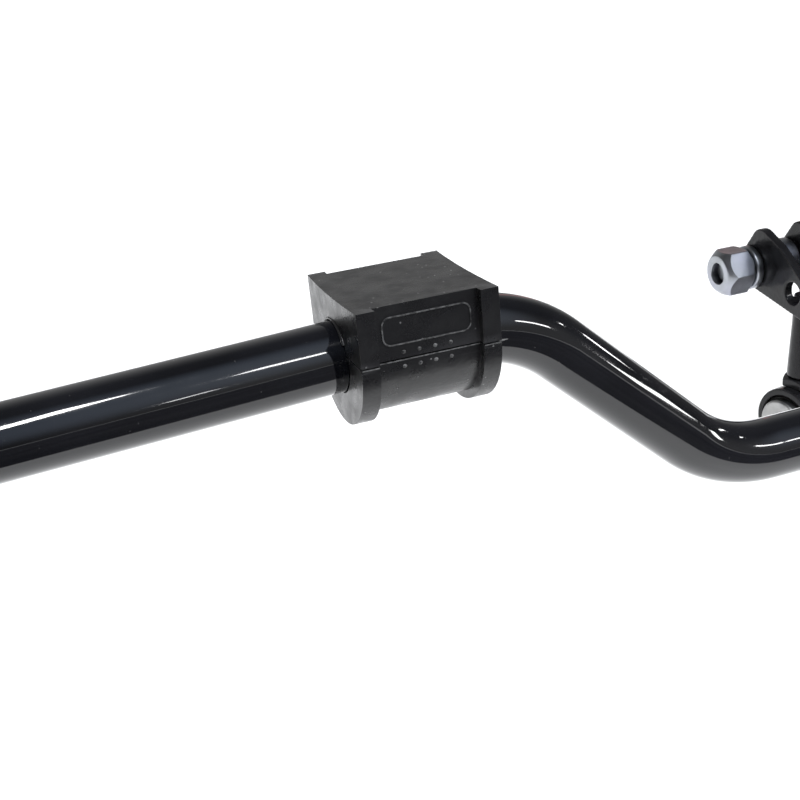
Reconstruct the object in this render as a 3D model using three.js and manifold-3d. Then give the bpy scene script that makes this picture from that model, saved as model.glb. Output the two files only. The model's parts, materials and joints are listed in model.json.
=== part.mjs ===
// Anti-roll (sway) bar with its two D-shaped bushings and its two end links.
// Millimetres, +Z up, X across the vehicle, +Y to the rear. The bar turns about the X axis
// that runs through both bushings, and each arm carries an upright link with a forked top.

import * as THREE from "three";
import { mergeVertices } from "three/addons/utils/BufferGeometryUtils.js";
import Module from "manifold-3d";

const wasm = await Module();
wasm.setup();

// ---- driving dimensions ----------------------------------------------------------------

const GAP = 0.3;                       // clearance between neighbouring pieces

const BAR_RADIUS = 12.7;               // one-inch solid bar
const BAR_SIDES = 24;
const BUSHING_SPREAD = 480;            // between the bushings' centres
const BOW = { forward: 11.7, down: 5.2, radius: 1000 };   // shallow bow of the middle stretch
const DROP_RADIUS = 59;                // centreline radius of the two drop bends
const DROP_ANGLE = 42.2;               // degrees, of each drop bend
const DROP_STRAIGHT = 71.5;            // straight between the two drop bends
const DROP_START = 20;                 // from a bushing's centre to the first drop bend
const KINK_RADIUS = 60;                // where the bow meets the bushing seat
const ARM_RADIUS = 50;                 // centreline radius of the arm bend
const ARM_YAW = 12;                    // degrees that each arm leans in towards the middle
const DEGREES_PER_STEP = 6;            // arc step of the bar's bends

const BUSHING = {
  length: 50, flange: 6.5, flangeHalfWidth: 27.5, bodyHalfWidth: 24.4,
  top: 22.4, arcCentre: 3.3, bore: BAR_RADIUS + 0.45, slit: 0.5, sides: 32,
};

// The lower eye's centre, from the bushing's centre.
const EYE = { x: 284.2, y: 144.5, z: -147.4, radius: 19.5, bore: 15.6, halfLength: 16 };
const STUD = { radius: 13.6, halfLength: 20, shank: 7, shankEnd: 53 };
const PADDLE = { thickness: 11, endRadius: 19, length: 50, roundBarStops: 26 };
const SHANK = { radius: 7, top: 41 };  // threaded stem of the lower eye, heights from its centre
const JAM_NUT = { across: 22, bottom: 18.6, top: 24 };

// The fork's pivot bolt, from the lower eye's centre.
const PIVOT = { y: 30, z: 83.5 };
const FORK = { halfWidth: 15, ear: 5, front: -48, crownRear: -27, crownBottom: -17, crownTop: -11.2 };
const TOOLING_HOLE = { radius: 6.3, y: -36.1, z: -6.8 };
const EAR = { boss: 11.8, hump: 8.5, humpY: -7.5, humpZ: 14.5, shoulderY: -20, shoulderZ: 9 };
const COLUMN = { bottom: 24.3, top: 72, bottomRadius: 9.9, topRadius: 7, flareTop: 35, flareRadius: 9.3, hole: 42 };
const BOLT = { radius: 7, tip: 4 };
const LOCK_NUT = { across: 24, length: 16, faceRadius: 11.2, taper: 4, mouth: 5.9, lip: 2, seat: 1.8 };
const RING_WASHER = { radius: 12.3, thickness: 4.6 };
const FLAT_WASHER = { radius: 14, thickness: 3 };
const HEX_NUT = { across: 22, thickness: 14 };
const BOLT_HEAD = { across: 22, thickness: 9 };
const BUSH = { sleeve: 8.9, rubber: 11.3, shell: 12.7, length: 17 };

const ROUND_SIDES = 32;

// ---- materials -------------------------------------------------------------------------

const glossBlackPaint = () => new THREE.MeshStandardMaterial(
  { color: 0x0c0d12, roughness: 0.12, metalness: 0.1 });
const satinBlackPaint = () => new THREE.MeshStandardMaterial(
  { color: 0x17171a, roughness: 0.35, metalness: 0.1 });
const mouldedBlack = () => new THREE.MeshStandardMaterial(
  { color: 0x1b1b1d, roughness: 0.5, metalness: 0.0 });
const zincPlate = () => new THREE.MeshStandardMaterial(
  { color: 0xb4bac0, roughness: 0.3, metalness: 0.9 });
const darkRubber = () => new THREE.MeshStandardMaterial(
  { color: 0x161616, roughness: 0.8, metalness: 0.0 });
const machinedSteel = () => new THREE.MeshStandardMaterial(
  { color: 0xa9abad, roughness: 0.4, metalness: 0.9 });

// ---- solids ----------------------------------------------------------------------------

const radians = THREE.MathUtils.degToRad;

// A closed geometry with nothing but merged positions, as booleans and mirroring need.
function bare(geometry) {
  const plain = geometry.index ? geometry : geometry.clone();
  plain.deleteAttribute("normal");
  plain.deleteAttribute("uv");
  return mergeVertices(plain, 1e-4);
}

function toSolid(geometry) {
  const merged = bare(geometry);
  return new wasm.Manifold(new wasm.Mesh({
    numProp: 3,
    vertProperties: new Float32Array(merged.attributes.position.array),
    triVerts: new Uint32Array(merged.index.array),
  }));
}

function toGeometry(solid) {
  const mesh = solid.getMesh();
  const geometry = new THREE.BufferGeometry();
  geometry.setAttribute("position", new THREE.BufferAttribute(mesh.vertProperties, 3));
  geometry.setIndex(new THREE.BufferAttribute(mesh.triVerts, 1));
  return geometry;
}

// The same shape for the other side of the vehicle.
function mirrored(geometry) {
  const twin = bare(geometry.clone());
  twin.scale(-1, 1, 1);
  const index = twin.index.array;
  for (let i = 0; i < index.length; i += 3) {
    const second = index[i + 1];
    index[i + 1] = index[i + 2];
    index[i + 2] = second;
  }
  return twin;
}

// A solid of revolution about X. Its profile is a list of [x, radius] pairs that runs from
// low x to high x along the outside, and back along the inside if there is a bore.
function turnedAboutX(profile, sides = ROUND_SIDES) {
  const points = profile.map(([x, radius]) => new THREE.Vector2(radius, x));
  return new THREE.LatheGeometry(points, sides).rotateZ(-Math.PI / 2);
}

function rodAboutX(radius, x0, x1, sides = ROUND_SIDES) {
  return turnedAboutX([[x0, 0], [x0, radius], [x1, radius], [x1, 0]], sides);
}

function ringAboutX(inner, outer, x0, x1, sides = ROUND_SIDES) {
  return turnedAboutX([[x0, inner], [x0, outer], [x1, outer], [x1, inner], [x0, inner]], sides);
}

function hexAboutX(across, x0, x1) {
  const corner = across / Math.sqrt(3);
  return new THREE.CylinderGeometry(corner, corner, x1 - x0, 6)
    .rotateZ(-Math.PI / 2)
    .translate((x0 + x1) / 2, 0, 0);
}

// An outline drawn in (y, z) and made thick along X from x0 to x1.
function slabAlongX(outline, x0, x1, curveSegments = 10) {
  const slab = new THREE.ExtrudeGeometry(outline, { depth: x1 - x0, bevelEnabled: false, curveSegments });
  const axes = new THREE.Matrix4().makeBasis(
    new THREE.Vector3(0, 1, 0), new THREE.Vector3(0, 0, 1), new THREE.Vector3(1, 0, 0));
  return slab.applyMatrix4(axes).translate(x0, 0, 0);
}

// ---- the bar ---------------------------------------------------------------------------

// A route of straights joined by arcs, sampled only where it bends.
class BentRoute extends THREE.Curve {
  constructor(corners, radii) {
    super();
    this.points = [corners[0]];
    this.tangents = [corners[1].clone().sub(corners[0]).normalize()];
    for (let i = 1; i < corners.length - 1; i += 1) {
      this.addArc(corners[i - 1], corners[i], corners[i + 1], radii[i - 1]);
    }
    this.points.push(corners.at(-1));
    this.tangents.push(this.tangents.at(-1).clone());
    this.steps = this.points.length - 1;
  }

  addArc(before, corner, after, radius) {
    const into = corner.clone().sub(before).normalize();
    const outOf = after.clone().sub(corner).normalize();
    const turn = into.angleTo(outOf);
    const axis = into.clone().cross(outOf).normalize();
    const start = corner.clone().addScaledVector(into, -radius * Math.tan(turn / 2));
    const centre = start.clone().addScaledVector(axis.clone().cross(into), radius);
    const count = Math.max(1, Math.ceil(turn / radians(DEGREES_PER_STEP)));
    for (let k = 0; k <= count; k += 1) {
      const angle = turn * k / count;
      this.points.push(start.clone().sub(centre).applyAxisAngle(axis, angle).add(centre));
      this.tangents.push(into.clone().applyAxisAngle(axis, angle));
    }
  }

  sample(list, t) {
    const at = t * this.steps;
    const low = Math.min(Math.floor(at), this.steps - 1);
    return list[low].clone().lerp(list[low + 1], at - low);
  }

  getPoint(t) { return this.sample(this.points, t); }

  getPointAt(t) { return this.sample(this.points, t); }

  getTangentAt(t) { return this.sample(this.tangents, t).normalize(); }
}

const half = BUSHING_SPREAD / 2;
const eyeCentre = new THREE.Vector3(half + EYE.x, EYE.y, EYE.z);

// Unit vectors of the lower eye: along its axis, and level along the arm towards the eye.
const eyeAxis = new THREE.Vector3(Math.cos(radians(ARM_YAW)), Math.sin(radians(ARM_YAW)), 0);
const armLevel = new THREE.Vector3(-eyeAxis.y, eyeAxis.x, 0);

// The corners of the bar's right half, from the middle outwards.
function rightCorners() {
  const tangent = DROP_RADIUS * Math.tan(radians(DROP_ANGLE) / 2);
  const slope = DROP_STRAIGHT + 2 * tangent;
  const kink = new THREE.Vector3(half - BUSHING.length / 2 + 1, 0, 0);
  const upper = new THREE.Vector3(half + DROP_START + tangent, 0, 0);
  const lower = upper.clone().add(new THREE.Vector3(
    slope * Math.cos(radians(DROP_ANGLE)), 0, -slope * Math.sin(radians(DROP_ANGLE))));
  const hole = eyeCentre.clone().addScaledVector(
    eyeAxis, STUD.halfLength + GAP + PADDLE.thickness / 2);
  const elbow = hole.clone().addScaledVector(armLevel, -hole.y / armLevel.y).setZ(lower.z);
  const arm = hole.clone().sub(elbow).normalize();
  const roundEnd = hole.clone().addScaledVector(arm, -PADDLE.roundBarStops);
  return { kink, upper, lower, elbow, roundEnd, hole, arm };
}

const flip = (point) => point.clone().setX(-point.x);

function barRoute() {
  const { kink, upper, lower, elbow, roundEnd } = rightCorners();
  const middle = new THREE.Vector3(0, -BOW.forward, -BOW.down);
  const outer = [kink, upper, lower, elbow, roundEnd];
  const corners = [...outer.map(flip).reverse(), middle, ...outer];
  const bends = [KINK_RADIUS, DROP_RADIUS, DROP_RADIUS, ARM_RADIUS];
  return new BentRoute(corners, [...bends.slice().reverse(), BOW.radius, ...bends]);
}

function roundSection(radius, sides) {
  const corners = Array.from({ length: sides }, (_, i) => new THREE.Vector2(
    radius * Math.cos(2 * Math.PI * i / sides), radius * Math.sin(2 * Math.PI * i / sides)));
  return new THREE.Shape(corners);
}

// The flattened end of an arm: a plate that widens from the bar to a round end at the hole.
function paddle() {
  const { hole, arm } = rightCorners();
  const { endRadius, length, thickness } = PADDLE;
  const lean = Math.asin((endRadius - BAR_RADIUS) / length);
  const outline = new THREE.Shape();
  outline.absarc(0, 0, endRadius, -Math.PI / 2 - lean, Math.PI / 2 + lean, false);
  outline.lineTo(-length, BAR_RADIUS - 1);
  outline.lineTo(-length, 1 - BAR_RADIUS);
  outline.closePath();
  const plate = toSolid(slabAlongX(outline, -thickness / 2, thickness / 2));
  const drill = toSolid(rodAboutX(STUD.shank + GAP, -thickness, thickness));
  const place = new THREE.Matrix4()
    .makeBasis(eyeAxis, arm, eyeAxis.clone().cross(arm))
    .setPosition(hole);
  return toGeometry(plate.subtract(drill)).applyMatrix4(place);
}

function barGeometry() {
  const route = barRoute();
  const tube = new THREE.ExtrudeGeometry(roundSection(BAR_RADIUS, BAR_SIDES),
    { extrudePath: route, steps: route.steps, bevelEnabled: false });
  return toGeometry(toSolid(tube).add(toSolid(paddle())).add(toSolid(mirrored(paddle()))));
}

// ---- the bushing -----------------------------------------------------------------------

// Flat on top, straight down the sides, and half round below.
function dOutline(halfWidth) {
  const outline = new THREE.Shape();
  outline.moveTo(halfWidth, BUSHING.top);
  outline.lineTo(-halfWidth, BUSHING.top);
  outline.lineTo(-halfWidth, BUSHING.arcCentre);
  outline.absarc(0, BUSHING.arcCentre, halfWidth, Math.PI, 2 * Math.PI, false);
  outline.closePath();
  return outline;
}

function bushingGeometry() {
  const end = BUSHING.length / 2;
  const body = toSolid(slabAlongX(dOutline(BUSHING.bodyHalfWidth), -end, end, 16));
  const flange = (x0) => toSolid(
    slabAlongX(dOutline(BUSHING.flangeHalfWidth), x0, x0 + BUSHING.flange, 16));
  const bore = toSolid(rodAboutX(BUSHING.bore, -end - 1, end + 1, BUSHING.sides));
  const slit = toSolid(new THREE.BoxGeometry(BUSHING.length + 2, 30, BUSHING.slit)
    .translate(0, -15 - BUSHING.bore / 2, BUSHING.arcCentre));
  return toGeometry(body.add(flange(-end)).add(flange(end - BUSHING.flange))
    .subtract(bore).subtract(slit));
}

// ---- the link's lower end, about the eye's axis --------------------------------------------

function eyeGeometry() {
  const { radius, bore, halfLength } = EYE;
  const barrel = toSolid(rodAboutX(radius, -halfLength, halfLength));
  const stem = toSolid(new THREE.CylinderGeometry(SHANK.radius, SHANK.radius, SHANK.top, ROUND_SIDES)
    .rotateX(Math.PI / 2).translate(0, 0, SHANK.top / 2));
  const through = toSolid(rodAboutX(bore, -halfLength - 1, halfLength + 1));
  return toGeometry(barrel.add(stem).subtract(through));
}

function jamNutGeometry() {
  const height = JAM_NUT.top - JAM_NUT.bottom;
  const corner = JAM_NUT.across / Math.sqrt(3);
  const hex = toSolid(new THREE.CylinderGeometry(corner, corner, height, 6)
    .rotateX(Math.PI / 2).translate(0, 0, (JAM_NUT.top + JAM_NUT.bottom) / 2));
  const thread = toSolid(new THREE.CylinderGeometry(
    SHANK.radius + GAP, SHANK.radius + GAP, height + 2, ROUND_SIDES)
    .rotateX(Math.PI / 2).translate(0, 0, (JAM_NUT.top + JAM_NUT.bottom) / 2));
  const barrel = toSolid(rodAboutX(EYE.radius + GAP, -EYE.halfLength - 1, EYE.halfLength + 1));
  return toGeometry(hex.subtract(thread).subtract(barrel));
}

const lowerRubberGeometry = () => ringAboutX(
  STUD.radius + GAP, EYE.bore - GAP, -EYE.halfLength + 1, EYE.halfLength - 1);

const studGeometry = () => turnedAboutX([
  [-STUD.halfLength, 0], [-STUD.halfLength, STUD.radius], [STUD.halfLength, STUD.radius],
  [STUD.halfLength, STUD.shank], [STUD.shankEnd, STUD.shank], [STUD.shankEnd, 0]]);

function nutAboutX(across, hole, x0, x1) {
  const hex = toSolid(hexAboutX(across, x0, x1));
  return toGeometry(hex.subtract(toSolid(rodAboutX(hole, x0 - 1, x1 + 1))));
}

// ---- the link's fork, about the pivot bolt ----------------------------------------------

// One ear, seen along the bolt: round about the bolt, humped above it, and running forward
// and down to the crown.
function earOutline() {
  const outline = new THREE.Shape();
  outline.absarc(0, 0, EAR.boss, radians(-105), radians(42), false);
  outline.absarc(EAR.humpY, EAR.humpZ, EAR.hump, radians(20), radians(102), false);
  outline.absarc(EAR.shoulderY, EAR.shoulderZ, EAR.hump, radians(102), radians(126), false);
  outline.lineTo(FORK.front + 4, 3.4);
  outline.quadraticCurveTo(FORK.front, 1, FORK.front, -3);
  outline.lineTo(FORK.front, -17.5);
  outline.quadraticCurveTo(FORK.front, -21, FORK.front + 4, -20.4);
  outline.closePath();
  return outline;
}

// Ears, crown and column in one forging, with a blind thread up the column.
function forkGeometry() {
  const { halfWidth, ear, front, crownRear, crownBottom, crownTop } = FORK;
  const outline = earOutline();
  const pivotHole = toSolid(rodAboutX(BOLT.radius + GAP, -halfWidth - 1, halfWidth + 1));
  const ears = [-halfWidth, halfWidth - ear]
    .map((x0) => toSolid(slabAlongX(outline, x0, x0 + ear)));
  const crown = toSolid(new THREE.BoxGeometry(2 * halfWidth, crownRear - front, crownTop - crownBottom)
    .translate(0, (crownRear + front) / 2, (crownTop + crownBottom) / 2));
  const toolingHole = toSolid(rodAboutX(TOOLING_HOLE.radius, -halfWidth - 1, halfWidth + 1)
    .translate(0, TOOLING_HOLE.y, TOOLING_HOLE.z));
  const lift = -PIVOT.z;
  const profile = [
    [COLUMN.bottom, 0], [COLUMN.bottom, COLUMN.bottomRadius], [COLUMN.flareTop, COLUMN.flareRadius],
    [COLUMN.top, COLUMN.topRadius], [COLUMN.top, 0]];
  const turned = new THREE.LatheGeometry(
    profile.map(([z, radius]) => new THREE.Vector2(radius, z)), ROUND_SIDES).rotateX(Math.PI / 2);
  const column = toSolid(turned.translate(0, -PIVOT.y, lift));
  const thread = toSolid(new THREE.CylinderGeometry(
    SHANK.radius + GAP, SHANK.radius + GAP, COLUMN.hole - COLUMN.bottom + 1, ROUND_SIDES)
    .rotateX(Math.PI / 2)
    .translate(0, -PIVOT.y, lift + (COLUMN.hole + COLUMN.bottom - 1) / 2));
  return toGeometry(ears[0].add(ears[1]).add(crown).add(column)
    .subtract(pivotHole).subtract(toolingHole).subtract(thread));
}

// Positions along the bolt run from the fork's middle. The lock nut is on the inner side.
const washerOuter = -FORK.halfWidth - GAP - RING_WASHER.thickness;
const nutSeat = washerOuter - GAP;
const nutFace = nutSeat - LOCK_NUT.length - LOCK_NUT.seat;

// A hexagon whose outer end is turned to a taper and crimped in over the thread.
function lockNutGeometry() {
  const { across, length, faceRadius, taper, mouth, lip, seat } = LOCK_NUT;
  const corner = across / Math.sqrt(3) + 0.5;
  const hexEnd = nutFace + length;
  const hex = toSolid(hexAboutX(across, nutFace, hexEnd));
  const turned = toSolid(turnedAboutX([
    [nutFace, 0], [nutFace, faceRadius], [nutFace + taper, corner],
    [hexEnd - 1, corner], [hexEnd, across / 2], [hexEnd, 0]]));
  const washerFace = toSolid(rodAboutX(across / 2 - 1.2, hexEnd - 1, hexEnd + seat));
  const bore = toSolid(turnedAboutX([
    [nutFace - 1, 0], [nutFace - 1, mouth], [nutFace + lip, mouth],
    [nutFace + lip, BOLT.radius + GAP], [nutSeat + 1, BOLT.radius + GAP], [nutSeat + 1, 0]]));
  return toGeometry(hex.intersect(turned).add(washerFace).subtract(bore));
}

function pivotBoltGeometry() {
  const headSeat = FORK.halfWidth + 2 * GAP + FLAT_WASHER.thickness;
  const head = toSolid(hexAboutX(BOLT_HEAD.across, headSeat, headSeat + BOLT_HEAD.thickness));
  const shank = toSolid(rodAboutX(BOLT.radius, nutFace + BOLT.tip, headSeat + 1));
  return toGeometry(head.add(shank));
}

// ---- assembly --------------------------------------------------------------------------

function addPiece(parent, name, geometry, material, side = 1) {
  const shape = side < 0 ? mirrored(geometry) : geometry;
  const mesh = new THREE.Mesh(shape, material);
  mesh.name = name;
  parent.add(mesh);
}

// Stud, washer and nut are fixed to the arm; the eye, its rubber and its jam nut turn on them.
function addLowerEnd(parent, prefix, side) {
  const group = new THREE.Group();
  group.position.set(side * eyeCentre.x, eyeCentre.y, eyeCentre.z);
  group.rotation.z = side * radians(ARM_YAW);
  parent.add(group);
  const washerAt = STUD.halfLength + PADDLE.thickness + 2 * GAP;
  const nutAt = washerAt + FLAT_WASHER.thickness + GAP;
  const hole = STUD.shank + GAP;
  addPiece(group, `${prefix}_lower_eye`, eyeGeometry(), satinBlackPaint(), side);
  addPiece(group, `${prefix}_jam_nut`, jamNutGeometry(), satinBlackPaint(), side);
  addPiece(group, `${prefix}_lower_rubber`, lowerRubberGeometry(), darkRubber(), side);
  addPiece(group, `${prefix}_lower_stud`, studGeometry(), machinedSteel(), side);
  addPiece(group, `${prefix}_lower_washer`, ringAboutX(
    hole, FLAT_WASHER.radius, washerAt, washerAt + FLAT_WASHER.thickness), zincPlate(), side);
  addPiece(group, `${prefix}_lower_nut`, nutAboutX(
    HEX_NUT.across, hole, nutAt, nutAt + HEX_NUT.thickness), zincPlate(), side);
}

// The fork stands over the eye and clamps the upper bush between its ears.
function addFork(parent, prefix, side) {
  const group = new THREE.Group();
  group.position.set(side * eyeCentre.x, eyeCentre.y + PIVOT.y, eyeCentre.z + PIVOT.z);
  parent.add(group);
  const { halfWidth, ear } = FORK;
  const hole = BOLT.radius + GAP;
  const headWasher = halfWidth + GAP;
  const sleeveEnd = halfWidth - ear - GAP;
  const bushEnd = BUSH.length / 2;
  addPiece(group, `${prefix}_link_fork`, forkGeometry(), satinBlackPaint(), side);
  addPiece(group, `${prefix}_pivot_bolt`, pivotBoltGeometry(), zincPlate(), side);
  addPiece(group, `${prefix}_lock_nut`, lockNutGeometry(), zincPlate(), side);
  addPiece(group, `${prefix}_ring_washer`, ringAboutX(
    hole, RING_WASHER.radius, washerOuter, washerOuter + RING_WASHER.thickness), zincPlate(), side);
  addPiece(group, `${prefix}_head_washer`, ringAboutX(
    hole, FLAT_WASHER.radius, headWasher, headWasher + FLAT_WASHER.thickness), zincPlate(), side);
  addPiece(group, `${prefix}_upper_sleeve`, ringAboutX(
    hole, BUSH.sleeve, -sleeveEnd, sleeveEnd), machinedSteel(), side);
  addPiece(group, `${prefix}_upper_rubber`, ringAboutX(
    BUSH.sleeve + GAP, BUSH.rubber, -bushEnd, bushEnd), darkRubber(), side);
  addPiece(group, `${prefix}_upper_shell`, ringAboutX(
    BUSH.rubber + GAP, BUSH.shell, -bushEnd, bushEnd), zincPlate(), side);
}

function addBushing(parent, prefix, side) {
  const group = new THREE.Group();
  group.position.x = side * half;
  parent.add(group);
  addPiece(group, `${prefix}_bushing`, bushingGeometry(), mouldedBlack(), side);
}

const swayBar = new THREE.Group();
swayBar.name = "sway_bar";
addPiece(swayBar, "bar", barGeometry(), glossBlackPaint());
for (const [prefix, side] of [["right", 1], ["left", -1]]) {
  addBushing(swayBar, prefix, side);
  addLowerEnd(swayBar, prefix, side);
  addFork(swayBar, prefix, side);
}

// The frame's origin is the middle of the footprint, at the lowest point.
const extent = new THREE.Box3().setFromObject(swayBar);
const footprint = extent.getCenter(new THREE.Vector3());
swayBar.position.set(-footprint.x, -footprint.y, -extent.min.z);

export default swayBar;
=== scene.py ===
import json
from math import atan2, copysign, cos, pi, radians, sin, sqrt, tan

import bmesh
import bpy
from mathutils import Matrix, Vector


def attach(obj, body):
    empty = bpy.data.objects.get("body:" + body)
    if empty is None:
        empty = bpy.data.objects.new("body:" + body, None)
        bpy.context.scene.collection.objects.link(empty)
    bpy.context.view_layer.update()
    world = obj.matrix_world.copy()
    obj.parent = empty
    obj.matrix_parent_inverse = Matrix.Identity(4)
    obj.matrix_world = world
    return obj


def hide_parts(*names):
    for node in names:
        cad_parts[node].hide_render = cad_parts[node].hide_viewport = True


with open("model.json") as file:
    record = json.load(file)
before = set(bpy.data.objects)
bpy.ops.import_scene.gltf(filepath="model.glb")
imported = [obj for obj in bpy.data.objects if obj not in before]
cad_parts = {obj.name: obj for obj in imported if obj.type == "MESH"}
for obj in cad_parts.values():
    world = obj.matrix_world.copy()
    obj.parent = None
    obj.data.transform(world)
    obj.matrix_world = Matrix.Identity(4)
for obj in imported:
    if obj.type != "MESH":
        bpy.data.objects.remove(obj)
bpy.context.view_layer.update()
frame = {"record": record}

# ---- The viewpoint -------------------------------------------------------------------------
# A short telephoto lens stands to the front left of the right-hand bushing, looks down at it
# and is turned a little about its own axis.

STAND_POINT = Vector((0.1132, -0.4559, 0.3063))
AIM_POINT = Vector((0.2572, -0.0158, 0.1178))
CAMERA_ROLL = radians(-5.73)

camera = bpy.data.objects.new("camera", bpy.data.cameras.new("camera"))
bpy.context.scene.collection.objects.link(camera)
camera.data.sensor_width = 36.0
camera.data.lens = 53.77
camera.data.clip_start = 0.02
camera.data.clip_end = 100.0
aimed = (AIM_POINT - STAND_POINT).to_track_quat("-Z", "Y").to_matrix().to_4x4()
camera.matrix_world = (Matrix.Translation(STAND_POINT) @ aimed
                       @ Matrix.Rotation(CAMERA_ROLL, 4, "Z"))
bpy.context.scene.camera = camera

# ---- The bar -------------------------------------------------------------------------------
# One length of 25.4 mm solid spring steel, bent cold on formers, with both ends pressed flat and
# drilled. It is powder coated in deep gloss black that dries with a faint orange-peel skin.

MM = 0.001
joints = {joint["name"]: joint for joint in frame["record"]["behaviour"]["joints"]}
bushing_centre = Vector(joints["right_bushing_turn"]["pos_m"]) / MM
eye_centre = Vector(joints["right_link_swing"]["pos_m"]) / MM
eye_axis = Vector(joints["right_link_swing"]["axis"]).normalized()
arm_level = Vector((-eye_axis.y, eye_axis.x, 0))
ACROSS = Vector((1, 0, 0))

BAR_RADIUS = 12.7
BAR_SIDES = 96
BOW = Vector((0, -11.7, -5.2))
BOW_RADIUS = 1000
KINK_RADIUS = 60
KINK_INSIDE = 24
DROP_RADIUS = 59
DROP_ANGLE = radians(42.2)
DROP_STRAIGHT = 71.5
DROP_START = 20
ARM_RADIUS = 50
BEND_STEP = radians(2)
STUD_HALF_LENGTH = 20
PADDLE_THICKNESS = 11
PADDLE_RADIUS = 19
PADDLE_LENGTH = 50
CLEARANCE = 0.3
SHANK_RADIUS = 7


def carry_straight(bm, edges, distance, direction):
    """Draws the open end of a tube on in a straight line."""
    grown = bmesh.ops.extrude_edge_only(bm, edges=edges)["geom"]
    ends = [part for part in grown if isinstance(part, bmesh.types.BMVert)]
    bmesh.ops.translate(bm, verts=ends, vec=direction * distance)
    return [part for part in grown if isinstance(part, bmesh.types.BMEdge)
            and part.verts[0] in ends and part.verts[1] in ends]


def carry_round(bm, edges, centre, axis, angle):
    """Draws the open end of a tube round a former."""
    steps = max(1, round(angle / BEND_STEP))
    grown = bmesh.ops.spin(bm, geom=edges, cent=centre, axis=axis, angle=angle, steps=steps,
                           dvec=(0, 0, 0), use_merge=False, use_duplicate=False)
    return [part for part in grown["geom_last"] if isinstance(part, bmesh.types.BMEdge)]


drop_tangent = DROP_RADIUS * tan(DROP_ANGLE / 2)
drop_way = Vector((cos(DROP_ANGLE), 0, -sin(DROP_ANGLE)))
kink = bushing_centre - ACROSS * KINK_INSIDE
upper_bend = bushing_centre + ACROSS * (DROP_START + drop_tangent)
lower_bend = upper_bend + drop_way * (DROP_STRAIGHT + 2 * drop_tangent)
paddle_hole = eye_centre + eye_axis * (STUD_HALF_LENGTH + CLEARANCE + PADDLE_THICKNESS / 2)
elbow = paddle_hole - arm_level * ((paddle_hole.y - bushing_centre.y) / arm_level.y)
elbow.z = lower_bend.z
arm_way = (paddle_hole - elbow).normalized()
paddle_across = eye_axis.cross(arm_way)

bow_corner = Vector((0, bushing_centre.y, bushing_centre.z)) + BOW
bow_side = -BOW.normalized()
bow_half_turn = ACROSS.angle(kink - bow_corner)
bow_former = bow_corner + bow_side * (BOW_RADIUS / cos(bow_half_turn))

bar = bmesh.new()
bar_start = bow_former - bow_side * BOW_RADIUS
section = bmesh.ops.create_circle(
    bar, segments=BAR_SIDES, radius=BAR_RADIUS,
    matrix=Matrix.Translation(bar_start) @ Matrix.Rotation(pi / 2, 4, "Y"))
open_end = list({edge for vert in section["verts"] for edge in vert.link_edges})
open_end = carry_round(bar, open_end, bow_former, ACROSS.cross(bow_side), bow_half_turn)

bow_turn = Matrix.Rotation(bow_half_turn, 3, ACROSS.cross(bow_side))
here = bow_former + bow_turn @ (bar_start - bow_former)
corners = [kink, upper_bend, lower_bend, elbow, paddle_hole]
for corner, following, radius in zip(corners, corners[1:],
                                     (KINK_RADIUS, DROP_RADIUS, DROP_RADIUS, ARM_RADIUS)):
    way_in = (corner - here).normalized()
    way_out = (following - corner).normalized()
    turn = way_in.angle(way_out)
    axis = way_in.cross(way_out).normalized()
    bend_start = corner - way_in * (radius * tan(turn / 2))
    open_end = carry_straight(bar, open_end, (bend_start - here).length, way_in)
    former = bend_start + axis.cross(way_in) * radius
    open_end = carry_round(bar, open_end, former, axis, turn)
    here = former + Matrix.Rotation(turn, 3, axis) @ (bend_start - former)

# Distances past the drilled hole at which the press shapes the end.
FLATTENING = (-56, -53, -50, -47, -44, -41, -38, -35, -32, -29, -26, -20, -14, -8, -2, 3, 7, 10,
              12.5, 14.5, 16, 17.2, 18, 18.6, 18.9)
FLAT_FROM, FLAT_BY = -56, -26
SQUARE_EDGE = 0.42
TIP_FROM, TIP_EASE = 15, 0.35
around = {}
for station in FLATTENING:
    reach = paddle_hole + arm_way * station
    open_end = carry_straight(bar, open_end, (reach - here).length, arm_way)
    here = reach
    ring = {vert for edge in open_end for vert in edge.verts}
    pressed = min(1, max(0, (station - FLAT_FROM) / (FLAT_BY - FLAT_FROM)))
    pressed = pressed * pressed * (3 - 2 * pressed)
    thickness = BAR_RADIUS + (PADDLE_THICKNESS / 2 - BAR_RADIUS) * pressed
    if station > TIP_FROM:
        thickness *= 1 - TIP_EASE * ((station - TIP_FROM) / (PADDLE_RADIUS - TIP_FROM)) ** 2
    spread = min(1, max(0, (station + PADDLE_LENGTH) / PADDLE_LENGTH))
    width = BAR_RADIUS + (PADDLE_RADIUS - BAR_RADIUS) * spread
    if station > 0:
        width = sqrt(PADDLE_RADIUS ** 2 - station ** 2)
    fullness = 1 + (SQUARE_EDGE - 1) * pressed
    turns = {}
    for vert in ring:
        before = [edge.other_vert(vert) for edge in vert.link_edges]
        known = [around[other] for other in before if other in around]
        offset = vert.co - here
        turns[vert] = known[0] if known else atan2(offset.dot(paddle_across), offset.dot(eye_axis))
    for vert, angle in turns.items():
        out = thickness * copysign(abs(cos(angle)) ** fullness, cos(angle))
        side = width * copysign(abs(sin(angle)) ** fullness, sin(angle))
        vert.co = here + eye_axis * out + paddle_across * side
    around = turns
bmesh.ops.contextual_create(bar, geom=open_end)
bmesh.ops.mirror(bar, geom=bar.verts[:] + bar.edges[:] + bar.faces[:], matrix=Matrix.Identity(4),
                 merge_dist=0.001, axis="X")
bmesh.ops.recalc_face_normals(bar, faces=bar.faces)


def workpiece(bm, name):
    """Turns a bmesh in millimetres into an object, still in millimetres."""
    mesh = bpy.data.meshes.new(name)
    bm.to_mesh(mesh)
    bm.free()
    piece = bpy.data.objects.new(name, mesh)
    bpy.context.scene.collection.objects.link(piece)
    return piece


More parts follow.
